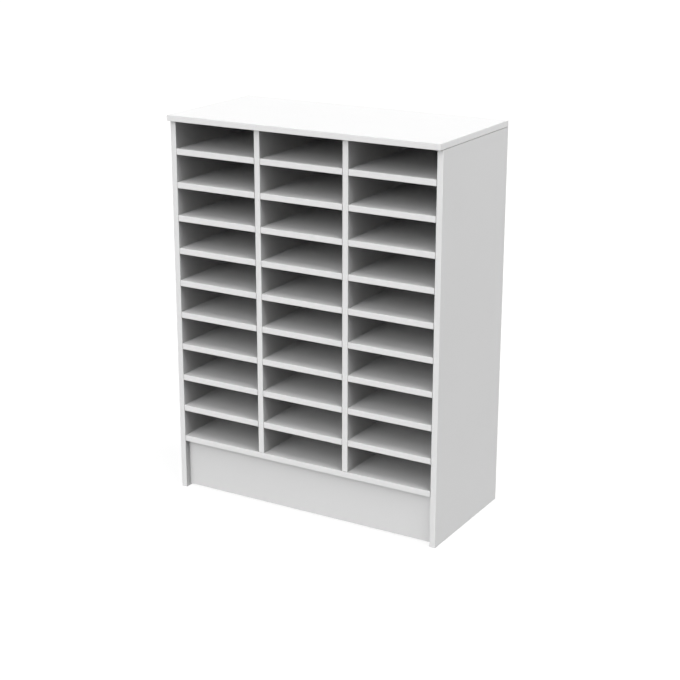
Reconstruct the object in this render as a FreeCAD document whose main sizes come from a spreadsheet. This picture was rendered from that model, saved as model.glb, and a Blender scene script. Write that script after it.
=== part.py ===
"""Pigeonhole mail sorter: a cabinet of melamine-faced board with housed joints.

Three columns of pigeonholes stand between two side panels and two dividers.
The shelves are fixed: their ends are shouldered at the front and slide from
the rear into stopped housings, cut into both faces of the dividers and into
the inner faces of the side panels. The bottom board is housed the same way,
and the dividers are housed in the top and the bottom board. The shoulders
stay clear of the board that they face, which leaves a fine open joint. The
top lies on the side panels on dowels, over a shadow groove along the outer
edge. A back panel in grooves closes the rear, and a plinth and a rear rail,
dowelled to the side panels, carry the bottom board.

Frame: +X to the right and +Y to the rear, seen from the front, and +Z up.
The origin is on the floor, in the middle of the footprint. Millimetres.
"""

import FreeCAD, Part
import Sketcher
import os

V = FreeCAD.Vector

# ---------------------------------------------------------------- driving sizes

DRIVING_SIZES = {
    # pigeonholes
    "opening_width": 276,
    "opening_height": 83,
    "row_count": 10,
    # cabinet
    "carcass_depth": 413,
    "base_height": 157,
    "front_overhang": 17,
    "top_thickness": 18,
    "side_thickness": 18,
    "divider_thickness": 18,
    "shelf_thickness": 18,
    "bottom_thickness": 18,
    # plinth and rear rail
    "plinth_thickness": 18,
    "plinth_recess": 21,
    "plinth_floor_gap": 5,
    "rail_thickness": 18,
    "rail_height": 100,
    # stopped housings
    "housing_depth": 5,
    "housing_stop": 20,
    "housing_end_gap": 0.5,
    "housing_play": 0.2,
    # open joints that show
    "joint_gap": 1.2,
    "shadow_groove_depth": 4,
    # back panel and its grooves
    "back_thickness": 6,
    "back_inset": 12,
    "groove_depth": 7,
    "groove_end_gap": 0.5,
    "groove_play": 0.3,
    # edge bands
    "band_thickness": 1,
    "band_bevel": 0.5,
    # dowels
    "dowel_diameter": 8,
    "dowel_play": 0.1,
    "dowel_end_gap": 0.5,
    "dowel_setback": 50,
    "face_reach": 12,
    "end_reach": 18,
    # screws of the back panel
    "screw_diameter": 3.5,
    "screw_head_diameter": 7,
    "screw_length": 25,
    "screw_tip_length": 3,
    "screw_play": 0.1,
    "divider_screw_count": 2,
}

doc = FreeCAD.newDocument("pigeonhole_mail_sorter")
sheet = doc.addObject("Spreadsheet::Sheet", "sizes")
for row, (alias, size) in enumerate(DRIVING_SIZES.items(), start=1):
    sheet.set("A%d" % row, alias)
    sheet.set("B%d" % row, str(size))
    sheet.setAlias("B%d" % row, alias)
doc.recompute()


def value(expression):
    """The number that an expression on the sheet comes to."""
    return float(sheet.evalExpression(expression))


# ---------------------------------------------------------------- derived places
# Expressions on the sheet: pieces that touch, fit or line up share the same one.
# Depths (Y) are counted from the front of the carcass, heights (Z) from the floor.

COLUMN_STEP = "(sizes.opening_width + sizes.divider_thickness)"
COLUMNS = {"left": "(-%s)" % COLUMN_STEP, "centre": "0", "right": COLUMN_STEP}
OUTER_COLUMNS = [COLUMNS["left"], COLUMNS["right"]]
OPENING_HALF = "(sizes.opening_width / 2)"
CLEAR_HALF = "(%s + %s)" % (OPENING_HALF, COLUMN_STEP)
OVERALL_HALF = "(%s + sizes.side_thickness)" % CLEAR_HALF
SIDE_MIDDLE = "(%s + sizes.side_thickness / 2)" % CLEAR_HALF
DIVIDER_MIDDLE = "(%s / 2)" % COLUMN_STEP

CARCASS_FRONT = "((sizes.front_overhang - sizes.carcass_depth) / 2)"
INNER_DEPTH = "(sizes.carcass_depth - sizes.back_inset - sizes.back_thickness)"

ROW_STEP = "(sizes.opening_height + sizes.shelf_thickness)"
HOLES_LOW = "(sizes.base_height + sizes.bottom_thickness)"
HOLES_HIGH = "(%s + sizes.row_count * %s - sizes.shelf_thickness)" % (HOLES_LOW, ROW_STEP)
FIRST_SHELF = "(%s + sizes.opening_height)" % HOLES_LOW
RAIL_LOW = "(sizes.base_height - sizes.rail_height)"

# A board's end reaches into its housing behind the shoulder.
TONGUE = "(sizes.housing_depth - sizes.housing_end_gap)"
SHOULDER = "(sizes.housing_stop + sizes.housing_end_gap)"
# The far side of the open joint over the bottom board, and of the one under the top.
JOINT_OVER_BOTTOM = "(%s + sizes.joint_gap)" % HOLES_LOW
JOINT_UNDER_TOP = "(%s - sizes.joint_gap)" % HOLES_HIGH

GROOVE_REAR = "(%s + sizes.back_thickness + sizes.groove_play)" % INNER_DEPTH
GROOVE_END = "(%s + sizes.groove_depth)" % CLEAR_HALF
BACK_HALF = "(%s - sizes.groove_end_gap)" % GROOVE_END
BACK_HIGH = "(%s + sizes.groove_depth - sizes.groove_end_gap)" % HOLES_HIGH

BORE = "(sizes.dowel_diameter + 2 * sizes.dowel_play)"
FACE_BORE = "(sizes.face_reach + sizes.dowel_end_gap)"
END_BORE = "(sizes.end_reach + sizes.dowel_end_gap)"
TOP_DOWELS = ["sizes.dowel_setback", "(%s - sizes.dowel_setback)" % INNER_DEPTH]
PLINTH_MIDDLE = "(sizes.plinth_recess + sizes.plinth_thickness / 2)"
PLINTH_DOWELS = ["(%s * sizes.base_height + %s * sizes.plinth_floor_gap)" % shares
                 for shares in ((0.25, 0.75), (0.75, 0.25))]
RAIL_MIDDLE = "(%s - sizes.rail_thickness / 2)" % INNER_DEPTH
RAIL_DOWELS = ["(sizes.base_height - %s * sizes.rail_height)" % share for share in (0.25, 0.75)]

SCREW_HOLE = "(sizes.screw_diameter + 2 * sizes.screw_play)"
SCREW_SINK = "(sizes.screw_head_diameter + 2 * sizes.screw_play)"
SCREW_BORE = "(sizes.screw_length - sizes.back_thickness + sizes.screw_play)"
SCREW_COUNT = int(value("sizes.divider_screw_count"))
SCREW_HEIGHTS = ["(%s + %s * (%s - %s))" % (HOLES_LOW, (count + 0.5) / SCREW_COUNT, HOLES_HIGH, HOLES_LOW)
                 for count in range(SCREW_COUNT)]
BOTTOM_MIDDLE = "(sizes.base_height + sizes.bottom_thickness / 2)"

# ---------------------------------------------------------------- sketches and features

SKETCH_ORIGIN = (-1, 1)
LINE_START = 1
LINE_END = 2
CENTRE = 3
# The way that each origin plane's normal points along its own axis.
NORMAL = {"XY_Plane": 1, "XZ_Plane": -1, "YZ_Plane": 1}


def origin_feature(body, role):
    """The origin plane or axis of a body that has this role."""
    return next(item for item in body.Origin.OriginFeatures if item.Role == role)


def new_body(name, x="0", y="0", z="0"):
    """An empty body whose place is bound to three expressions."""
    body = doc.addObject("PartDesign::Body", name)
    body.Label = name
    for axis, distance in zip("xyz", (x, y, z)):
        body.setExpression("Placement.Base." + axis, distance)
    return body


def new_sketch(body, name, plane, level="0"):
    """A sketch on one of its body's own origin planes, moved to a level along that plane's axis."""
    sketch = body.newObject("Sketcher::SketchObject", "%s_%s" % (body.Name, name))
    sketch.AttachmentSupport = [(origin_feature(body, plane), "")]
    sketch.MapMode = "FlatFace"
    sketch.setExpression("AttachmentOffset.Base.z", "%d * %s" % (NORMAL[plane], level))
    return sketch


def dimension(sketch, kind, point, expression):
    """Hold a point's distance from the sketch origin at an expression."""
    constraint = Sketcher.Constraint(kind, *SKETCH_ORIGIN, *point, value(expression))
    index = sketch.addConstraint(constraint)
    sketch.setExpression("Constraints[%d]" % index, expression)


def draw_outline(sketch, corners):
    """A closed run of straight lines through corners, each given as two expressions."""
    points = [V(value(across), value(up), 0) for across, up in corners]
    lines = [sketch.addGeometry(Part.LineSegment(start, end))
             for start, end in zip(points, points[1:] + points[:1])]
    for line, following in zip(lines, lines[1:] + lines[:1]):
        sketch.addConstraint(Sketcher.Constraint("Coincident", line, LINE_END, following, LINE_START))
    for line, (across, up) in zip(lines, corners):
        dimension(sketch, "DistanceX", (line, LINE_START), across)
        dimension(sketch, "DistanceY", (line, LINE_START), up)


def draw_rectangle(sketch, left, low, right, high):
    """An upright rectangle between two corners."""
    draw_outline(sketch, [(left, low), (right, low), (right, high), (left, high)])


def draw_circles(sketch, centres, diameter):
    """Equal circles, the first of which carries the diameter."""
    circles = []
    for across, up in centres:
        centre = V(value(across), value(up), 0)
        circle = sketch.addGeometry(Part.Circle(centre, V(0, 0, 1), value(diameter) / 2))
        dimension(sketch, "DistanceX", (circle, CENTRE), across)
        dimension(sketch, "DistanceY", (circle, CENTRE), up)
        circles.append(circle)
    index = sketch.addConstraint(Sketcher.Constraint("Diameter", circles[0], value(diameter)))
    sketch.setExpression("Constraints[%d]" % index, diameter)
    for circle in circles[1:]:
        sketch.addConstraint(Sketcher.Constraint("Equal", circles[0], circle))


def pad(body, sketch, plane, length, way):
    """Pad a sketch along its plane's axis: way is 1, -1, or 0 for half to each side."""
    feature = body.newObject("PartDesign::Pad", body.Name + "_pad")
    feature.Profile = sketch
    feature.setExpression("Length", length)
    feature.Reversed = way * NORMAL[plane] < 0
    if way == 0:
        feature.SideType = "Symmetric"
    return feature


def pocket(body, sketch, plane, depth, way):
    """Cut a sketch into the body along its plane's axis: way is 1 or -1."""
    feature = body.newObject("PartDesign::Pocket", sketch.Name + "_pocket")
    feature.Profile = sketch
    feature.setExpression("Length", depth)
    feature.Reversed = way * NORMAL[plane] > 0
    return feature


def drill(body, name, plane, level, centres, diameter, depth, way):
    """Bore equal round holes from a plane at a level."""
    sketch = new_sketch(body, name, plane, level)
    draw_circles(sketch, centres, diameter)
    return pocket(body, sketch, plane, depth, way)


def house(body, name, face, underside, thickness, way):
    """A stopped housing for the end of a level board, cut into an upright from a face at X."""
    sketch = new_sketch(body, name, "YZ_Plane", face)
    ceiling = "(%s + %s + sizes.housing_play)" % (underside, thickness)
    draw_rectangle(sketch, "sizes.housing_stop", underside, INNER_DEPTH, ceiling)
    return pocket(body, sketch, "YZ_Plane", "sizes.housing_depth", way)


def repeat_for_shelves(body, pockets):
    """Repeat the lowest shelf's housings upwards, one for every shelf."""
    pattern = body.newObject("PartDesign::LinearPattern", body.Name + "_shelf_rows")
    pattern.Originals = pockets
    pattern.Direction = (origin_feature(body, "Z_Axis"), [""])
    pattern.Mode = "Spacing"
    pattern.setExpression("Offset", ROW_STEP)
    pattern.setExpression("Occurrences", "sizes.row_count - 1")
    body.Tip = pattern


def pairs(acrosses, ups):
    """Every combination of two lists of expressions."""
    return [(across, up) for across in acrosses for up in ups]


def mirrored(expression):
    """The negative of an expression, and the expression."""
    return ["(-%s)" % expression, expression]


# ---------------------------------------------------------------- boards

nodes = []


def make_side_panel(name, side):
    """A side panel, inner face at local X 0: side is -1 for the left and 1 for the right."""
    body = new_body(name, "%d * %s" % (side, CLEAR_HALF), CARCASS_FRONT)
    profile = new_sketch(body, "profile", "YZ_Plane")
    draw_rectangle(profile, "sizes.band_thickness", "0", "sizes.carcass_depth", HOLES_HIGH)
    pad(body, profile, "YZ_Plane", "sizes.side_thickness", side)
    groove = new_sketch(body, "back_groove", "YZ_Plane")
    draw_rectangle(groove, INNER_DEPTH, "0", GROOVE_REAR, HOLES_HIGH)
    pocket(body, groove, "YZ_Plane", "sizes.groove_depth", side)
    base = pairs([PLINTH_MIDDLE], PLINTH_DOWELS) + pairs([RAIL_MIDDLE], RAIL_DOWELS)
    drill(body, "base_bores", "YZ_Plane", "0", base, BORE, FACE_BORE, side)
    top = pairs(["%d * sizes.side_thickness / 2" % side], TOP_DOWELS)
    drill(body, "top_bores", "XY_Plane", HOLES_HIGH, top, BORE, END_BORE, -1)
    outer = "(%d * sizes.side_thickness)" % side
    groove_floor = "(%d * (sizes.side_thickness - sizes.shadow_groove_depth))" % side
    shadow = new_sketch(body, "shadow_groove", "XY_Plane", HOLES_HIGH)
    draw_rectangle(shadow, groove_floor, "sizes.band_thickness", outer, "sizes.carcass_depth")
    pocket(body, shadow, "XY_Plane", "sizes.joint_gap", -1)
    house(body, "bottom_housing", "0", "sizes.base_height", "sizes.bottom_thickness", side)
    shelf = house(body, "shelf_housing", "0", FIRST_SHELF, "sizes.shelf_thickness", side)
    repeat_for_shelves(body, [shelf])
    nodes.append(body)


def make_divider(name, side):
    """A divider, centred on local X 0, shouldered at both ends and housed out on both faces."""
    body = new_body(name, "%d * %s" % (side, DIVIDER_MIDDLE), CARCASS_FRONT)
    profile = new_sketch(body, "profile", "YZ_Plane")
    foot = "(%s - %s)" % (HOLES_LOW, TONGUE)
    head = "(%s + %s)" % (HOLES_HIGH, TONGUE)
    draw_outline(profile, [
        ("sizes.band_thickness", JOINT_OVER_BOTTOM),
        (SHOULDER, JOINT_OVER_BOTTOM),
        (SHOULDER, foot),
        (INNER_DEPTH, foot),
        (INNER_DEPTH, head),
        (SHOULDER, head),
        (SHOULDER, JOINT_UNDER_TOP),
        ("sizes.band_thickness", JOINT_UNDER_TOP),
    ])
    pad(body, profile, "YZ_Plane", "sizes.divider_thickness", 0)
    drill(body, "screw_bores", "XZ_Plane", INNER_DEPTH, pairs(["0"], SCREW_HEIGHTS),
          SCREW_HOLE, SCREW_BORE, -1)
    half = "(sizes.divider_thickness / 2)"
    left = house(body, "left_housing", "(-%s)" % half, FIRST_SHELF, "sizes.shelf_thickness", 1)
    right = house(body, "right_housing", half, FIRST_SHELF, "sizes.shelf_thickness", -1)
    repeat_for_shelves(body, [left, right])
    nodes.append(body)


def make_level_board(name, x, z, half_width, thickness):
    """A board between two uprights, its ends shouldered to fit their stopped housings."""
    body = new_body(name, x, CARCASS_FRONT, z)
    profile = new_sketch(body, "profile", "XY_Plane")
    tongue_end = "(%s + %s)" % (half_width, TONGUE)
    shoulder_end = "(%s - sizes.joint_gap)" % half_width
    right = [
        (shoulder_end, "sizes.band_thickness"),
        (shoulder_end, SHOULDER),
        (tongue_end, SHOULDER),
        (tongue_end, INNER_DEPTH),
    ]
    left = [("(-%s)" % across, up) for across, up in reversed(right)]
    draw_outline(profile, right + left)
    pad(body, profile, "XY_Plane", thickness, 1)
    nodes.append(body)
    return body


def make_shelves():
    """The fixed shelves, numbered upwards in each column."""
    for column, x in COLUMNS.items():
        for number in range(1, int(value("sizes.row_count"))):
            underside = "%s + %d * %s" % (FIRST_SHELF, number - 1, ROW_STEP)
            make_level_board("shelf_%s_%d" % (column, number), x, underside, OPENING_HALF,
                             "sizes.shelf_thickness")


def draw_divider_housings(sketch):
    """The outlines of the housings that take the ends of both dividers."""
    half = "((sizes.divider_thickness + sizes.housing_play) / 2)"
    for middle in mirrored(DIVIDER_MIDDLE):
        left = "(%s - %s)" % (middle, half)
        right = "(%s + %s)" % (middle, half)
        draw_rectangle(sketch, left, "sizes.housing_stop", right, INNER_DEPTH)


def make_bottom_board():
    """The bottom board, between the side panels, with the dividers standing in it."""
    body = make_level_board("bottom_board", "0", "sizes.base_height", CLEAR_HALF, "sizes.bottom_thickness")
    housings = new_sketch(body, "divider_housings", "XY_Plane", "sizes.bottom_thickness")
    draw_divider_housings(housings)
    pocket(body, housings, "XY_Plane", "sizes.housing_depth", -1)
    screws = pairs(OUTER_COLUMNS, ["sizes.bottom_thickness / 2"])
    drill(body, "screw_bores", "XZ_Plane", INNER_DEPTH, screws, SCREW_HOLE, SCREW_BORE, -1)


def make_top_panel():
    """The top, bored, housed out and grooved from below."""
    body = new_body("top_panel", "0", CARCASS_FRONT, HOLES_HIGH)
    profile = new_sketch(body, "profile", "XY_Plane")
    half = "(%s - sizes.band_thickness)" % OVERALL_HALF
    front = "(sizes.band_thickness - sizes.front_overhang)"
    draw_rectangle(profile, "(-%s)" % half, front, half, "sizes.carcass_depth")
    pad(body, profile, "XY_Plane", "sizes.top_thickness", 1)
    groove = new_sketch(body, "back_groove", "XY_Plane")
    draw_rectangle(groove, "(-%s)" % GROOVE_END, INNER_DEPTH, GROOVE_END, GROOVE_REAR)
    pocket(body, groove, "XY_Plane", "sizes.groove_depth", 1)
    housings = new_sketch(body, "divider_housings", "XY_Plane")
    draw_divider_housings(housings)
    pocket(body, housings, "XY_Plane", "sizes.housing_depth", 1)
    sides = pairs(mirrored(SIDE_MIDDLE), TOP_DOWELS)
    drill(body, "side_bores", "XY_Plane", "0", sides, BORE, FACE_BORE, 1)
    nodes.append(body)


def make_base_board(name, front, thickness, low, dowels):
    """The plinth or the rear rail: a standing board under the bottom board."""
    body = new_body(name, "0", "%s + %s" % (CARCASS_FRONT, front))
    profile = new_sketch(body, "profile", "XZ_Plane")
    draw_rectangle(profile, "(-%s)" % CLEAR_HALF, low, CLEAR_HALF, "sizes.base_height")
    pad(body, profile, "XZ_Plane", thickness, 1)
    ends = pairs([thickness + " / 2"], dowels)
    drill(body, "left_bores", "YZ_Plane", "(-%s)" % CLEAR_HALF, ends, BORE, END_BORE, 1)
    drill(body, "right_bores", "YZ_Plane", CLEAR_HALF, ends, BORE, END_BORE, -1)
    nodes.append(body)


def back_screw_places():
    """Where the back panel is screwed to the dividers and to the bottom board."""
    return pairs(mirrored(DIVIDER_MIDDLE), SCREW_HEIGHTS) + pairs(OUTER_COLUMNS, [BOTTOM_MIDDLE])


def make_back_panel():
    """The back panel, from the groove in the top down to the foot of the rear rail."""
    body = new_body("back_panel", "0", "%s + %s" % (CARCASS_FRONT, INNER_DEPTH))
    profile = new_sketch(body, "profile", "XZ_Plane")
    draw_rectangle(profile, "(-%s)" % BACK_HALF, RAIL_LOW, BACK_HALF, BACK_HIGH)
    pad(body, profile, "XZ_Plane", "sizes.back_thickness", 1)
    places = new_sketch(body, "screw_places", "XZ_Plane", "sizes.back_thickness")
    draw_circles(places, back_screw_places(), SCREW_HOLE)
    doc.recompute()
    hole = body.newObject("PartDesign::Hole", "back_panel_screw_holes")
    hole.Profile = places
    hole.DepthType = "ThroughAll"
    hole.Reversed = True
    hole.HoleCutType = "Countersink"
    hole.HoleCutCustomValues = True
    hole.HoleCutCountersinkAngle = 90
    hole.setExpression("Diameter", SCREW_HOLE)
    hole.setExpression("HoleCutDiameter", SCREW_SINK)
    nodes.append(body)


# ---------------------------------------------------------------- small pieces
# Each is modelled once, about its own origin, and its copies make one node.

SIDEWAYS = V(0, 0, 1)
UPRIGHT = V(0, 1, 0)


def is_long_outer_edge(edge):
    """Whether an edge of a band's strip runs along X on its outer face."""
    middle = edge.CenterOfMass
    return middle.isEqual(V(0, 0, middle.z), Part.Precision.confusion())


def make_band(name, length, width):
    """An edge band along X, outer face at Y 0, with both long outer corners bevelled."""
    body = new_body(name)
    profile = new_sketch(body, "profile", "XZ_Plane")
    half_length = "(%s / 2)" % length
    half_width = "(%s / 2)" % width
    draw_rectangle(profile, "(-%s)" % half_length, "(-%s)" % half_width, half_length, half_width)
    strip = pad(body, profile, "XZ_Plane", "sizes.band_thickness", 1)
    doc.recompute()
    corners = ["Edge%d" % number for number, edge in enumerate(strip.Shape.Edges, start=1)
               if is_long_outer_edge(edge)]
    bevel = body.newObject("PartDesign::Chamfer", name + "_bevel")
    bevel.Base = (strip, corners)
    bevel.setExpression("Size", "sizes.band_bevel")
    return body


def make_dowel():
    """A dowel along X: it starts in a board's face, behind X 0, and ends in a board's end."""
    body = new_body("dowel")
    profile = new_sketch(body, "profile", "YZ_Plane", "(-sizes.face_reach)")
    draw_circles(profile, [("0", "0")], "sizes.dowel_diameter")
    pad(body, profile, "YZ_Plane", "sizes.face_reach + sizes.end_reach", 1)
    return body


def make_screw():
    """A countersunk screw that points along -Y, with its head flush at Y 0."""
    body = new_body("screw")
    profile = new_sketch(body, "profile", "XY_Plane")
    head = "(sizes.screw_head_diameter / 2)"
    shank = "(sizes.screw_diameter / 2)"
    draw_outline(profile, [
        ("0", "0"),
        (head, "0"),
        (shank, "(%s - %s)" % (shank, head)),
        (shank, "(sizes.screw_tip_length - sizes.screw_length)"),
        ("0", "(-sizes.screw_length)"),
    ])
    turned = body.newObject("PartDesign::Revolution", "screw_turned")
    turned.Profile = profile
    turned.ReferenceAxis = (profile, ["V_Axis"])
    turned.Angle = 360
    return body


def place(piece, x, y, z, axis=SIDEWAYS, angle=0):
    """A copy of a piece at a point given as expressions, Y counted from the carcass front."""
    point = V(value(x), value(CARCASS_FRONT) + value(y), value(z))
    shape = piece.Shape.copy()
    shape.Placement = FreeCAD.Placement(point, FreeCAD.Rotation(axis, angle))
    return shape


def group(name, shapes):
    """One node that holds the copies of a small piece as separate solids."""
    feature = doc.addObject("Part::Feature", name)
    feature.Label = name
    feature.Shape = Part.makeCompound(shapes)
    nodes.append(feature)


def make_edge_bands():
    """The bands on the front edges of the boards, and on the ends of the top."""
    shelf = make_band("shelf_band", "(2 * (%s - sizes.joint_gap))" % OPENING_HALF, "sizes.shelf_thickness")
    side = make_band("side_band", JOINT_UNDER_TOP, "sizes.side_thickness")
    divider_length = "(%s - %s)" % (JOINT_UNDER_TOP, JOINT_OVER_BOTTOM)
    divider = make_band("divider_band", divider_length, "sizes.divider_thickness")
    bottom = make_band("bottom_band", "(2 * (%s - sizes.joint_gap))" % CLEAR_HALF, "sizes.bottom_thickness")
    top_front = make_band("top_front_band", "(2 * %s)" % OVERALL_HALF, "sizes.top_thickness")
    end_length = "(sizes.carcass_depth + sizes.front_overhang - sizes.band_thickness)"
    top_end = make_band("top_end_band", end_length, "sizes.top_thickness")
    doc.recompute()

    shelf_heights = ["%s + sizes.shelf_thickness / 2 + %d * %s" % (FIRST_SHELF, count, ROW_STEP)
                     for count in range(int(value("sizes.row_count")) - 1)]
    group("shelf_edge_bands", [place(shelf, x, "0", z) for x, z in pairs(COLUMNS.values(), shelf_heights)])
    side_height = "(%s / 2)" % JOINT_UNDER_TOP
    group("side_edge_bands", [place(side, x, "0", side_height, UPRIGHT, 90) for x in mirrored(SIDE_MIDDLE)])
    divider_height = "((%s + %s) / 2)" % (JOINT_OVER_BOTTOM, JOINT_UNDER_TOP)
    group("divider_edge_bands", [place(divider, x, "0", divider_height, UPRIGHT, 90)
                                 for x in mirrored(DIVIDER_MIDDLE)])
    group("bottom_edge_band", [place(bottom, "0", "0", BOTTOM_MIDDLE)])
    top_height = "(%s + sizes.top_thickness / 2)" % HOLES_HIGH
    end_depth = "(sizes.carcass_depth - %s / 2)" % end_length
    group("top_edge_bands", [
        place(top_front, "0", "-sizes.front_overhang", top_height),
        place(top_end, "-" + OVERALL_HALF, end_depth, top_height, SIDEWAYS, -90),
        place(top_end, OVERALL_HALF, end_depth, top_height, SIDEWAYS, 90),
    ])


def make_dowels():
    """The dowels that join the top, the plinth and the rear rail to the side panels."""
    dowel = make_dowel()
    doc.recompute()
    group("top_dowels", [place(dowel, x, y, HOLES_HIGH, UPRIGHT, 90)
                         for x, y in pairs(mirrored(SIDE_MIDDLE), TOP_DOWELS)])
    base = pairs([PLINTH_MIDDLE], PLINTH_DOWELS) + pairs([RAIL_MIDDLE], RAIL_DOWELS)
    left = [place(dowel, "-" + CLEAR_HALF, y, z) for y, z in base]
    right = [place(dowel, CLEAR_HALF, y, z, SIDEWAYS, 180) for y, z in base]
    group("base_dowels", left + right)


def make_back_screws():
    """The screws through the back panel."""
    screw = make_screw()
    doc.recompute()
    rear = "(%s + sizes.back_thickness)" % INNER_DEPTH
    group("back_screws", [place(screw, x, rear, z) for x, z in back_screw_places()])


# ---------------------------------------------------------------- build and write

CUTS = ("PartDesign::Pocket", "PartDesign::Hole", "PartDesign::LinearPattern", "PartDesign::Chamfer")


def check_document():
    """Stop unless every object is sound and every cut took material away."""
    for item in doc.Objects:
        if "Invalid" in item.State or "Error" in item.State:
            raise RuntimeError("%s is %s" % (item.Label, item.State))
        if item.TypeId in CUTS and item.Shape.Volume >= item.BaseFeature.Shape.Volume:
            raise RuntimeError("%s cuts nothing" % item.Label)
    for node in nodes:
        if node.Shape.isNull() or not node.Shape.isValid() or not node.Shape.Solids:
            raise RuntimeError("%s has no sound shape" % node.Label)


def write_parts():
    """One STEP file for each node."""
    os.makedirs("parts", exist_ok=True)
    for node in nodes:
        node.Shape.exportStep("parts/%s.step" % node.Label)


make_top_panel()
make_side_panel("left_side_panel", -1)
make_side_panel("right_side_panel", 1)
make_divider("left_divider", -1)
make_divider("right_divider", 1)
make_bottom_board()
make_shelves()
make_base_board("plinth", "sizes.plinth_recess", "sizes.plinth_thickness",
                "sizes.plinth_floor_gap", PLINTH_DOWELS)
make_base_board("rear_rail", "%s - sizes.rail_thickness" % INNER_DEPTH, "sizes.rail_thickness",
                RAIL_LOW, RAIL_DOWELS)
make_back_panel()
make_edge_bands()
make_dowels()
make_back_screws()
doc.recompute()
check_document()
write_parts()
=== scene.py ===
"""Looks of the pigeonhole mail sorter: finishes, edges, screws and dowels, light, floor and camera.

Every board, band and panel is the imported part's own node, with eased edges and a
procedural finish. The screws and the dowels are modelled here in more detail, and
each of those pieces stands for its node. Metres, in the part's own frame: +X right,
+Y rear, +Z up.
"""

import math

import bmesh
import bpy
from mathutils import Matrix, Vector


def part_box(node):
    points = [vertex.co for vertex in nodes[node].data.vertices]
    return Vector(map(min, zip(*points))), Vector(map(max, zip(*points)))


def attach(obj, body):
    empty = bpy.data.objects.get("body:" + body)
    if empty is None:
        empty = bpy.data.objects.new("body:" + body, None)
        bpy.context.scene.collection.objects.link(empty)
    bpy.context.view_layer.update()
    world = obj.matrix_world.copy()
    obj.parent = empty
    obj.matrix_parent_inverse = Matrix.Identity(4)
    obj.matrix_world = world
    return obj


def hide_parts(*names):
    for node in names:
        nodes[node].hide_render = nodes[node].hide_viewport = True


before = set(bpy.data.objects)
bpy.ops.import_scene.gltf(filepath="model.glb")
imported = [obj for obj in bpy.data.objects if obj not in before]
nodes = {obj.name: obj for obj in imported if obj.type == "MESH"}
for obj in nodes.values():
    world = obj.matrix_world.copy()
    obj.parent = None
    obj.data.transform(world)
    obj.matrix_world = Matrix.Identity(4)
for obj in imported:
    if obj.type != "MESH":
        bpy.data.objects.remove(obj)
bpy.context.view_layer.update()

MM = 0.001
X, Y, Z = range(3)

# ---------------------------------------------------------------- camera

PICTURE_WIDTH = 680
SENSOR_WIDTH = 36
FOCAL_PIXELS = 1535.2
CAMERA_PLACE = (2.2609, -3.8249, 1.9442)
CAMERA_TURN = 30.427
CAMERA_DIP = 17.945
CAMERA_ROLL = 0.076


def add_camera():
    """A camera at the photograph's place, turned left by CAMERA_TURN and down by CAMERA_DIP."""
    camera = bpy.data.objects.new("camera", bpy.data.cameras.new("camera"))
    camera.data.sensor_width = SENSOR_WIDTH
    camera.data.lens = SENSOR_WIDTH * FOCAL_PIXELS / PICTURE_WIDTH
    turn = Matrix.Rotation(math.radians(CAMERA_TURN), 4, "Z")
    dip = Matrix.Rotation(math.radians(90 - CAMERA_DIP), 4, "X")
    roll = Matrix.Rotation(math.radians(CAMERA_ROLL), 4, "Z")
    camera.matrix_world = Matrix.Translation(CAMERA_PLACE) @ turn @ dip @ roll
    bpy.context.scene.collection.objects.link(camera)
    bpy.context.scene.camera = camera


# ---------------------------------------------------------------- node trees

# The sockets that a Mix node uses for colours.
MIX_FACTOR, MIX_A, MIX_B = 0, 6, 7
MIX_RESULT = 2

ZERO_TO_ONE = (0.0, 1.0)


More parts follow.
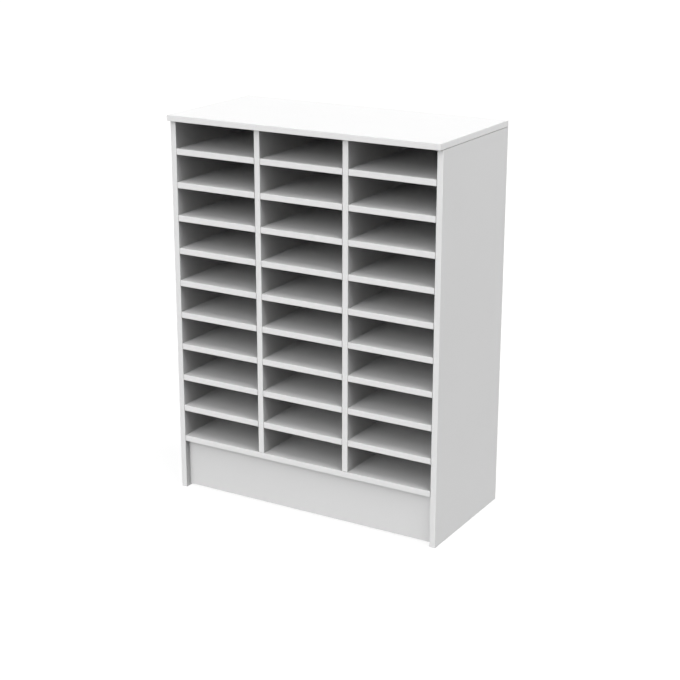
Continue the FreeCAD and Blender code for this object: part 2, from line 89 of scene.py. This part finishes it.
class Finish:
    """The node tree of a material, with a short call for each kind of node that the finishes use."""

    def __init__(self, name):
        self.material = bpy.data.materials.new(name)
        self.material.use_nodes = True
        self.tree = self.material.node_tree
        self.tree.nodes.clear()
        self.coordinates = self.add("ShaderNodeTexCoord").outputs
        self.place = self.coordinates["Object"]

    def add(self, kind, inputs=None, **settings):
        """A node of that kind. An input is a number, a colour or another node's output."""
        node = self.tree.nodes.new(kind)
        for name, setting in settings.items():
            setattr(node, name, setting)
        for socket, given in (inputs or {}).items():
            if isinstance(given, bpy.types.NodeSocket):
                self.tree.links.new(given, node.inputs[socket])
            else:
                node.inputs[socket].default_value = given
        return node

    def math(self, operation, first, second=0.0):
        return self.add("ShaderNodeMath", {0: first, 1: second}, operation=operation).outputs[0]

    def split(self, vector):
        """The three coordinates of a vector."""
        return self.add("ShaderNodeSeparateXYZ", {0: vector}).outputs

    def stretched(self, scale):
        """The place on the object, counted in lengths of 1 / scale along each axis."""
        return self.add("ShaderNodeMapping", {"Vector": self.place, "Scale": scale}).outputs[0]

    def noise(self, scale, detail=2.0, place=None):
        """Soft noise from 0 to 1 whose patches are about 1 / scale wide."""
        inputs = {"Vector": place or self.place, "Scale": scale, "Detail": detail}
        return self.add("ShaderNodeTexNoise", inputs).outputs[0]

    def chips(self, place, scale, output):
        """Cells about 1 / scale wide: output is Distance for their relief or Color for their tones."""
        return self.add("ShaderNodeTexVoronoi", {"Vector": place, "Scale": scale}).outputs[output]

    def spread(self, source, target, within=ZERO_TO_ONE):
        """source, stretched from the range within to the range target and held there."""
        inputs = {
            "Value": source,
            "From Min": within[0],
            "From Max": within[1],
            "To Min": target[0],
            "To Max": target[1],
        }
        return self.add("ShaderNodeMapRange", inputs, clamp=True).outputs[0]

    def mix(self, share, first, second, blend="MIX"):
        """The two colours mixed, with second's share from 0 to 1."""
        inputs = {MIX_FACTOR: share, MIX_A: first, MIX_B: second}
        node = self.add("ShaderNodeMix", inputs, data_type="RGBA", blend_type=blend)
        return node.outputs[MIX_RESULT]

    def tinted(self, colour, level):
        """The colour times a level near 1."""
        return self.mix(1.0, colour, level, "MULTIPLY")

    def bump(self, height, depth, below=None):
        """Relief of that depth in metres from a height of 0 to 1, on top of the relief below."""
        inputs = {"Height": height, "Distance": depth, "Strength": 1.0}
        if below is not None:
            inputs["Normal"] = below
        return self.add("ShaderNodeBump", inputs).outputs[0]

    def surface(self, colour, roughness, relief, metallic=0.0):
        """Closes the tree with one Principled BSDF, and returns the material."""
        inputs = {"Base Color": colour, "Roughness": roughness, "Normal": relief, "Metallic": metallic}
        shader = self.add("ShaderNodeBsdfPrincipled", inputs)
        self.add("ShaderNodeOutputMaterial", {"Surface": shader.outputs[0]})
        return self.material


def grey(level):
    return (level, level, level, 1.0)


# ---------------------------------------------------------------- finishes

# Names that end in PER_METRE are the scales of a pattern: how many of its patches fit in a metre.
# Noise lies mostly near 0.5, so its tones are taken from one of these two ranges.
WIDE_NOISE = (0.3, 0.7)
NARROW_NOISE = (0.35, 0.65)

MELAMINE_WHITE = grey(0.80)
CLOUDS_PER_METRE = 2.5
CLOUD_TONES = (0.985, 1.0)
SPECKLES_PER_METRE = 1100
SPECKLE_TONES = (0.975, 1.0)
WAVES_PER_METRE = 9
WAVE_DEPTH = 0.08 * MM
PEARLS_PER_METRE = 620
PEARL_DETAIL = 3
PEARL_DEPTH = 0.025 * MM
SATIN_PATCHES_PER_METRE = 14
SATIN_ROUGHNESS = (0.44, 0.53)


def melamine_tone(finish):
    """White with a hardly visible unevenness: broad clouds and a fine speckle."""
    clouds = finish.spread(finish.noise(CLOUDS_PER_METRE), CLOUD_TONES, WIDE_NOISE)
    speckle = finish.spread(finish.noise(SPECKLES_PER_METRE), SPECKLE_TONES, NARROW_NOISE)
    return finish.tinted(finish.tinted(MELAMINE_WHITE, clouds), speckle)


def melamine_relief(finish):
    """The pressed pearl structure of the facing over the board's long, shallow waves."""
    waves = finish.bump(finish.noise(WAVES_PER_METRE), WAVE_DEPTH)
    return finish.bump(finish.noise(PEARLS_PER_METRE, PEARL_DETAIL), PEARL_DEPTH, waves)


CHIP_PALE = (0.55, 0.41, 0.26, 1.0)
CHIP_DARK = (0.33, 0.215, 0.12, 1.0)
COARSE_CHIPS_PER_METRE = 320
FINE_CHIPS_PER_METRE = 800
CHIP_FLATNESS = 2.6
# Where the coarse chips give way to the fine ones, in thicknesses from the board's middle.
CHIP_CHANGE = (0.24, 0.36)


def chipboard(finish, axis, to_middle):
    """Colour and pits of the sawn core: flat chips, coarse in the middle and fine near the faces."""
    flat = [1.0, 1.0, 1.0]
    flat[axis] = CHIP_FLATNESS
    place = finish.stretched(flat)
    fine_share = finish.spread(to_middle, ZERO_TO_ONE, CHIP_CHANGE)
    coarse = finish.chips(place, COARSE_CHIPS_PER_METRE, "Color")
    fine = finish.chips(place, FINE_CHIPS_PER_METRE, "Color")
    chosen = finish.mix(fine_share, coarse, fine)
    tone = finish.add("ShaderNodeSeparateColor", {0: chosen}).outputs[0]
    colour = finish.mix(tone, CHIP_DARK, CHIP_PALE)
    pits = finish.chips(place, COARSE_CHIPS_PER_METRE, "Distance")
    return colour, pits


SEALED_CORE = grey(0.60)
CORE_ROUGHNESS = 0.85
PIT_DEPTH = 0.6 * MM
FACING_THICKNESS = 0.3 * MM
BOARD_THICKNESS = 18 * MM
# The core is bare where its normal, of length 1, points further than this to the rear or down.
BARE_BEYOND = 0.6


def board_finish(name, axis):
    """White melamine on the board's faces, square to axis, over a core of chipboard.

    The core is bare where it faces the rear or the floor. Everywhere else, so in most
    of the joints, it is sealed and grey, because the photograph's joints have no colour.
    """
    finish = Finish(name)
    across = finish.split(finish.coordinates["Generated"])[axis]
    to_middle = finish.math("ABSOLUTE", finish.math("SUBTRACT", across, 0.5))
    in_core = finish.math("LESS_THAN", to_middle, 0.5 - FACING_THICKNESS / BOARD_THICKNESS)
    normal = finish.split(finish.coordinates["Normal"])
    outward = finish.math("MAXIMUM", normal[Y], finish.math("MULTIPLY", normal[Z], -1.0))
    is_bare = finish.math("GREATER_THAN", outward, BARE_BEYOND)
    chips, pits = chipboard(finish, axis, to_middle)
    core = finish.mix(is_bare, SEALED_CORE, chips)
    colour = finish.mix(in_core, melamine_tone(finish), core)
    satin = finish.spread(finish.noise(SATIN_PATCHES_PER_METRE), SATIN_ROUGHNESS)
    roughness = finish.math("MAXIMUM", satin, finish.math("MULTIPLY", in_core, CORE_ROUGHNESS))
    relief = finish.bump(finish.math("MULTIPLY", pits, in_core), PIT_DEPTH, melamine_relief(finish))
    return finish.surface(colour, roughness, relief)


# The bands' white is lighter than the boards' white: partly the band's own colour, partly painted light that
# brightens the edges facing the front.
BAND_WHITE_AND_PAINTED_LIGHT = grey(0.865)
BAND_CLOUDS_PER_METRE = 40
BAND_TONES = (0.985, 1.0)
BAND_GLOSS_PER_METRE = 30
BAND_ROUGHNESS = (0.34, 0.44)
BAND_GRAIN_PER_METRE = 900
BAND_GRAIN_DEPTH = 0.008 * MM
MARKS_PER_METRE = 300
MARK_DETAIL = 1
MARK_STRETCH = (1.0, 0.2, 1.0)
MARK_DEPTH = 0.012 * MM


def band_finish():
    """White ABS edge band, smoother than the boards and lighter than them, partly by painted light on the
    front edges, with faint marks of the scraper across it.
    """
    finish = Finish("edge_band_abs")
    tone = finish.spread(finish.noise(BAND_CLOUDS_PER_METRE), BAND_TONES, WIDE_NOISE)
    marks = finish.noise(MARKS_PER_METRE, MARK_DETAIL, finish.stretched(MARK_STRETCH))
    roughness = finish.spread(finish.noise(BAND_GLOSS_PER_METRE), BAND_ROUGHNESS)
    relief = finish.bump(marks, MARK_DEPTH)
    relief = finish.bump(finish.noise(BAND_GRAIN_PER_METRE), BAND_GRAIN_DEPTH, relief)
    return finish.surface(finish.tinted(BAND_WHITE_AND_PAINTED_LIGHT, tone), roughness, relief)


BACK_WHITE = grey(0.79)
FIBRES_PER_METRE = 160
FIBRE_DETAIL = 4
FIBRE_STRETCH = (1.0, 1.0, 0.15)
FIBRE_TONES = (0.965, 1.0)
FIBRE_DEPTH = 0.03 * MM
BACK_GLOSS_PER_METRE = 20
BACK_ROUGHNESS = (0.52, 0.62)
BACK_WAVES_PER_METRE = 6
BACK_WAVE_DEPTH = 0.15 * MM


def back_finish():
    """White lacquered fibreboard: a little fibre shows through the lacquer."""
    finish = Finish("back_board_lacquer")
    fibres = finish.noise(FIBRES_PER_METRE, FIBRE_DETAIL, finish.stretched(FIBRE_STRETCH))
    tone = finish.spread(fibres, FIBRE_TONES, WIDE_NOISE)
    roughness = finish.spread(finish.noise(BACK_GLOSS_PER_METRE), BACK_ROUGHNESS)
    relief = finish.bump(finish.noise(BACK_WAVES_PER_METRE), BACK_WAVE_DEPTH)
    relief = finish.bump(fibres, FIBRE_DEPTH, relief)
    return finish.surface(finish.tinted(BACK_WHITE, tone), roughness, relief)


BEECH_PALE = (0.56, 0.36, 0.20, 1.0)
BEECH_DARK = (0.40, 0.23, 0.115, 1.0)
FLECKS_PER_METRE = 900
FLECK_DETAIL = 4
FLECK_STRETCH = (1.0, 1.0, 0.12)
FLECK_DEPTH = 0.04 * MM
BEECH_ROUGHNESS = (0.6, 0.75)


def beech_finish():
    """Turned beech with short dark flecks."""
    finish = Finish("dowel_beech")
    flecks = finish.noise(FLECKS_PER_METRE, FLECK_DETAIL, finish.stretched(FLECK_STRETCH))
    colour = finish.mix(finish.spread(flecks, ZERO_TO_ONE, NARROW_NOISE), BEECH_PALE, BEECH_DARK)
    return finish.surface(colour, finish.spread(flecks, BEECH_ROUGHNESS), finish.bump(flecks, FLECK_DEPTH))


ZINC_PALE = (0.42, 0.43, 0.45, 1.0)
ZINC_DARK = (0.28, 0.285, 0.30, 1.0)
ZINC_CLOUDS_PER_METRE = 700
ZINC_CLOUD_DETAIL = 3
SCUFFS_PER_METRE = 2600
SCUFF_DEPTH = 0.01 * MM
ZINC_ROUGHNESS = (0.24, 0.42)


def zinc_finish():
    """Bright zinc plate, with the cloudy tone and small scuffs of loose packed screws."""
    finish = Finish("screw_zinc")
    clouds = finish.noise(ZINC_CLOUDS_PER_METRE, ZINC_CLOUD_DETAIL)
    colour = finish.mix(finish.spread(clouds, ZERO_TO_ONE, NARROW_NOISE), ZINC_PALE, ZINC_DARK)
    scuffs = finish.noise(SCUFFS_PER_METRE)
    roughness = finish.spread(scuffs, ZINC_ROUGHNESS, WIDE_NOISE)
    return finish.surface(colour, roughness, finish.bump(scuffs, SCUFF_DEPTH), metallic=1.0)


# ---------------------------------------------------------------- boards, bands and the back

BOARD_EDGE = 0.25 * MM
BAND_EDGE = 0.12 * MM
EDGE_SEGMENTS = 2
WELD_DISTANCE = 0.002 * MM
SQUARE_EDGE = math.radians(60)


def ease_edges(piece, width):
    """Takes the sharpness off the square edges, and keeps the flat faces flat."""
    weld = piece.modifiers.new("weld", "WELD")
    weld.merge_threshold = WELD_DISTANCE
    bevel = piece.modifiers.new("eased_edges", "BEVEL")
    bevel.width = width
    bevel.segments = EDGE_SEGMENTS
    bevel.limit_method = "ANGLE"
    bevel.angle_limit = SQUARE_EDGE
    piece.modifiers.new("flat_faces", "WEIGHTED_NORMAL")


def finish_node(piece, material, edge):
    """Gives a node one material all over, and edges eased by that width."""
    piece.data.materials.clear()
    piece.data.materials.append(material)
    for face in piece.data.polygons:
        face.material_index = 0
    ease_edges(piece, edge)


def thickness_axis(name):
    """The axis along which a board is thinnest."""
    low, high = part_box(name)
    size = high - low
    return min((X, Y, Z), key=lambda axis: size[axis])


def dress_boards():
    """Finishes the boards, the bands and the back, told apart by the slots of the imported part."""
    others = {
        "edge_band": (band_finish(), BAND_EDGE),
        "back_board": (back_finish(), BOARD_EDGE),
    }
    boards = {}
    for axis, letter in ((X, "x"), (Y, "y"), (Z, "z")):
        boards[axis] = board_finish("melamine_board_" + letter, axis)
    for name, piece in nodes.items():
        slot = piece.data.materials[0].name.split(".")[0]
        if slot == "melamine_board":
            finish_node(piece, boards[thickness_axis(name)], BOARD_EDGE)
        elif slot in others:
            finish_node(piece, *others[slot])


# ---------------------------------------------------------------- screws and dowels

SMOOTH_BELOW = math.radians(35)


def solid_boxes(name):
    """The lowest and highest corners of each separate solid of a node."""
    solids = bmesh.new()
    solids.from_mesh(nodes[name].data)
    bmesh.ops.remove_doubles(solids, verts=solids.verts, dist=WELD_DISTANCE)
    boxes = []
    seen = set()
    for start in solids.verts:
        if start in seen:
            continue
        seen.add(start)
        joined = [start]
        for vertex in joined:
            neighbours = [edge.other_vert(vertex) for edge in vertex.link_edges]
            new = [other for other in neighbours if other not in seen]
            seen.update(new)
            joined.extend(new)
        corners = []
        for choose in (min, max):
            corners.append(Vector([choose(vertex.co[axis] for vertex in joined) for axis in (X, Y, Z)]))
        boxes.append(corners)
    solids.free()
    return boxes


def add_rings(mesh, rings):
    """Rows of faces between rings of equally many points, with a face over the first and the last."""
    rows = [[mesh.verts.new(point) for point in ring] for ring in rings]
    for lower, upper in zip(rows, rows[1:]):
        for start, end in zip(range(len(lower)), [*range(1, len(lower)), 0]):
            mesh.faces.new((lower[start], lower[end], upper[end], upper[start]))
    mesh.faces.new(rows[0])
    mesh.faces.new(rows[-1])


def stand_for(name, kind, mesh, material):
    """A piece with that mesh, in place of the node."""
    bmesh.ops.recalc_face_normals(mesh, faces=mesh.faces)
    for face in mesh.faces:
        face.smooth = True
    for edge in mesh.edges:
        edge.smooth = edge.calc_face_angle(0) < SMOOTH_BELOW
    piece = bpy.data.objects.new(kind + "_" + name, bpy.data.meshes.new(kind + "_" + name))
    mesh.to_mesh(piece.data)
    mesh.free()
    piece.data.materials.append(material)
    bpy.context.scene.collection.objects.link(piece)
    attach(piece, "root")
    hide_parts(name)


DOWEL_CHAMFER = 1.2 * MM
DOWEL_END_INSET = 0.7 * MM
FLUTE_COUNT = 20
FLUTE_POINTS = 3
FLUTE_DEPTH = 0.25 * MM


def dowel_ring(centre, axis, along, radius, flute):
    """A ring across the dowel at a length along its axis, with a flute every FLUTE_POINTS points."""
    across, up = [other for other in (X, Y, Z) if other != axis]
    count = FLUTE_COUNT * FLUTE_POINTS
    ring = []
    for index in range(count):
        reach = radius - (flute if index % FLUTE_POINTS == 0 else 0)
        angle = math.tau * index / count
        point = centre.copy()
        point[axis] = along
        point[across] += reach * math.cos(angle)
        point[up] += reach * math.sin(angle)
        ring.append(point)
    return ring


def add_dowels(name, material):
    """Fluted beech dowels with chamfered ends."""
    mesh = bmesh.new()
    for low, high in solid_boxes(name):
        size = high - low
        axis = max((X, Y, Z), key=lambda way: size[way])
        radius = min(size) / 2
        centre = (low + high) / 2
        steps = (
            (low[axis], radius - DOWEL_END_INSET, 0),
            (low[axis] + DOWEL_CHAMFER, radius, FLUTE_DEPTH),
            (high[axis] - DOWEL_CHAMFER, radius, FLUTE_DEPTH),
            (high[axis], radius - DOWEL_END_INSET, 0),
        )
        add_rings(mesh, [dowel_ring(centre, axis, *step) for step in steps])
    stand_for(name, "fluted", mesh, material)


# Shares are of the head's radius for the shank, of the shank's for its core, and of the
# recess's reach for the recess's foot. THREAD_HALF_WIDTH is in pitches.
SHANK_SHARE = 0.5
CORE_SHARE = 0.62
RECESS_FOOT_SHARE = 0.45
THREAD_PITCH = 1.6 * MM
THREAD_HALF_WIDTH = 0.25
ROWS_PER_PITCH = 8
TIP_LENGTH = 4 * MM
PLAIN_LENGTH = 4 * MM
POINT_RADIUS = 0.08 * MM
RIM_CHAMFER = 0.08 * MM
RECESS_ARM = 2.0 * MM
RECESS_HALF_WIDTH = 0.45 * MM
RECESS_DEPTH = 1.5 * MM
NEARLY_NOTHING = 0.001


def screw_angles():
    """The angles of the points round a screw, with one at each corner of its recess."""
    tip = math.atan(RECESS_HALF_WIDTH / RECESS_ARM)
    inner = math.pi / 4
    quarter = [0, tip, (tip + inner) / 2, inner]
    quarter += [math.pi / 2 - angle for angle in reversed(quarter[1:-1])]
    return [angle + turn * math.pi / 2 for turn in range(4) for angle in quarter]


def recess_reach(angle):
    """How far the cross recess reaches at an angle."""
    reaches = []
    for across, up in ((RECESS_ARM, RECESS_HALF_WIDTH), (RECESS_HALF_WIDTH, RECESS_ARM)):
        wide = across / max(abs(math.cos(angle)), NEARLY_NOTHING)
        high = up / max(abs(math.sin(angle)), NEARLY_NOTHING)
        reaches.append(min(wide, high))
    return max(reaches)


def thread_reach(depth, angle, radius, length):
    """The radius of the threaded shank at a depth under the head's face, tapered to the tip."""
    turns = depth / THREAD_PITCH - angle / math.tau
    crest = max(0.0, 1 - abs(turns - math.floor(turns) - 0.5) / THREAD_HALF_WIDTH)
    height = CORE_SHARE + (1 - CORE_SHARE) * crest
    return radius * height * min(1.0, (length - depth) / TIP_LENGTH)


def screw_rings(low, high):
    """The rings of one screw in its box, from the foot of the recess to the tip."""
    angles = screw_angles()
    middle = (low + high) / 2
    length = high.y - low.y
    rim = (high.x - low.x) / 2
    shank = rim * SHANK_SHARE
    head_depth = rim - shank
    thread_start = head_depth + PLAIN_LENGTH
    thread_length = length - thread_start
    row_count = round(thread_length / THREAD_PITCH * ROWS_PER_PITCH)

    def ring(depth, reach_at):
        place = Vector((middle.x, high.y - depth, middle.z))
        return [place + reach_at(angle) * Vector((math.cos(angle), 0, math.sin(angle))) for angle in angles]

    rings = [
        ring(RECESS_DEPTH, lambda angle: RECESS_FOOT_SHARE * recess_reach(angle)),
        ring(0, recess_reach),
        ring(0, lambda angle: rim - RIM_CHAMFER),
        ring(RIM_CHAMFER, lambda angle: rim - RIM_CHAMFER / 2),
        ring(head_depth, lambda angle: shank * CORE_SHARE),
    ]
    for row in range(row_count):
        depth = thread_start + thread_length * row / row_count
        rings.append(ring(depth, lambda angle: thread_reach(depth, angle, shank, length)))
    rings.append(ring(length, lambda angle: POINT_RADIUS))
    return rings


def add_screws(name, material):
    """Countersunk screws with a cross recess and a threaded shank, heads to the rear."""
    mesh = bmesh.new()
    for low, high in solid_boxes(name):
        add_rings(mesh, screw_rings(low, high))
    stand_for(name, "recessed", mesh, material)


# ---------------------------------------------------------------- light, floor and backdrop

# A level of 1 lights a surface that faces it as brightly as its own colour is written.
WORLD_LEVEL = 0.15
FLOOR_LEVEL = 0.19
BACKGROUND_WHITE = 1.0
FLOOR_HALF = 30.0
FLOOR_DROP = 0.05 * MM
FLOOR_GLOW = 0.90
FLOOR_SHADE = 0.16

# Lamps far away, each with its height and its turn from the front to the right, in degrees,
# the width of sky that it fills, in degrees, and its level.
LAMPS = {
    "front_high": (30, 0, 50, 0.28),
    "front_low": (8, 0, 50, 0.38),
    "right_high": (55, 90, 50, 0.68),
    "right_front": (55, 30, 50, 0.19),
    "left_low": (8, -100, 30, 0.40),
    "rear_low": (8, 180, 30, 0.45),
}


def level_by_ray(tree, level, seen_level):
    """level, but seen_level for rays from the camera and for those that a glossy or clear surface sends."""
    path = tree.nodes.new("ShaderNodeLightPath")
    seen = path.outputs["Is Camera Ray"]
    for name in ("Is Glossy Ray", "Is Transmission Ray"):
        either = tree.nodes.new("ShaderNodeMath")
        either.operation = "MAXIMUM"
        tree.links.new(seen, either.inputs[0])
        tree.links.new(path.outputs[name], either.inputs[1])
        seen = either.outputs[0]
    chosen = tree.nodes.new("ShaderNodeMapRange")
    chosen.inputs["To Min"].default_value = level
    chosen.inputs["To Max"].default_value = seen_level
    tree.links.new(seen, chosen.inputs["Value"])
    return chosen.outputs[0]


def light_world():
    """Even light from all round, behind a background that looks plain white."""
    world = bpy.data.worlds.new("studio")
    world.use_nodes = True
    tree = world.node_tree
    background = tree.nodes["Background"]
    background.inputs["Color"].default_value = grey(1.0)
    tree.links.new(level_by_ray(tree, WORLD_LEVEL, BACKGROUND_WHITE), background.inputs["Strength"])
    bpy.context.scene.world = world


def floor_finish():
    """Looks white, keeps the object's shadow, and sends a little light up to the object."""
    material = bpy.data.materials.new("floor")
    material.use_nodes = True
    tree = material.node_tree
    tree.nodes.clear()
    glow = tree.nodes.new("ShaderNodeEmission")
    tree.links.new(level_by_ray(tree, FLOOR_LEVEL, FLOOR_GLOW), glow.inputs["Strength"])
    lit = tree.nodes.new("ShaderNodeBsdfDiffuse")
    lit.inputs["Color"].default_value = grey(FLOOR_SHADE)
    both = tree.nodes.new("ShaderNodeAddShader")
    tree.links.new(glow.outputs[0], both.inputs[0])
    tree.links.new(lit.outputs[0], both.inputs[1])
    output = tree.nodes.new("ShaderNodeOutputMaterial")
    tree.links.new(both.outputs[0], output.inputs["Surface"])
    return material


def add_floor():
    mesh = bpy.data.meshes.new("floor")
    corners = [(x * FLOOR_HALF, y * FLOOR_HALF, -FLOOR_DROP) for x, y in ((-1, -1), (1, -1), (1, 1), (-1, 1))]
    mesh.from_pydata(corners, [], [(0, 1, 2, 3)])
    mesh.materials.append(floor_finish())
    floor = bpy.data.objects.new("floor", mesh)
    bpy.context.scene.collection.objects.link(floor)


def add_lamp(name, height, turn, width, level):
    lamp = bpy.data.objects.new(name, bpy.data.lights.new(name, "SUN"))
    lamp.data.energy = math.pi * level
    lamp.data.angle = math.radians(width)
    lamp.rotation_euler = (math.radians(90 - height), 0, math.radians(turn))
    bpy.context.scene.collection.objects.link(lamp)


# ---------------------------------------------------------------- the whole scene

# Light comes to each matt surface straight from the lamps, the sky and the floor.
DIFFUSE_BOUNCES = 0

add_camera()
dress_boards()
beech = beech_finish()
add_dowels("top_dowels", beech)
add_dowels("base_dowels", beech)
add_screws("back_screws", zinc_finish())
light_world()
add_floor()
for lamp_name, settings in LAMPS.items():
    add_lamp(lamp_name, *settings)

scene = bpy.context.scene
scene.view_settings.view_transform = "Standard"
scene.cycles.diffuse_bounces = DIFFUSE_BOUNCES
